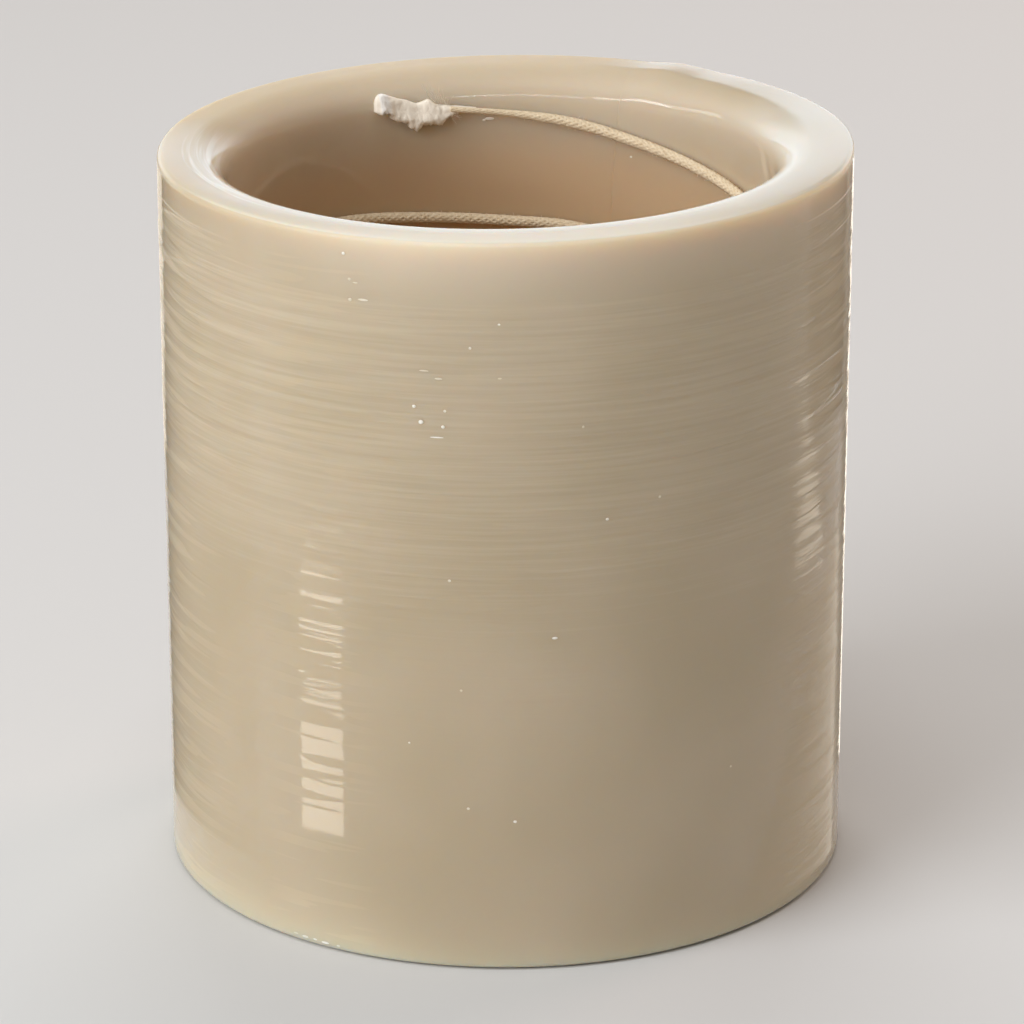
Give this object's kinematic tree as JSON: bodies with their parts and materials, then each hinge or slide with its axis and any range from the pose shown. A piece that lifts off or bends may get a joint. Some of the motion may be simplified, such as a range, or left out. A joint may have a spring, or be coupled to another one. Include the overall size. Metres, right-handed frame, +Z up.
{
  "type": "candle mold",
  "caption": "Flexible one-piece cylinder mold for pillar candles, with a bell-mouthed rim, a release slit, a wick hole and a waxed starter wick coiled against its inner wall.",
  "frame": {"origin": "centre of the outer wall at the flat underside", "axes": "+Z up through the open mouth, +Y towards the back, where the release slit is, 26 degrees towards +X"},
  "size_m": [0.0964, 0.0964, 0.1041],
  "materials": {
    "cast_polyurethane": "glossy translucent tan, with fine cast rings",
    "waxed_cotton_wick": "braided cotton, lightly waxed",
    "frayed_wick_end": "frayed cotton soaked with white wax"
  },
  "bodies": {
    "mold": {"mold_body": "cast_polyurethane"},
    "starter_wick": {"wick": "waxed_cotton_wick", "wick_tuft": "frayed_wick_end"}
  },
  "joints": [
    {"name": "wick_draw", "type": "slide", "parent": "mold", "child": "starter_wick", "axis": [0, 0, 1], "range_m": [0, 0.1]}
  ]
}
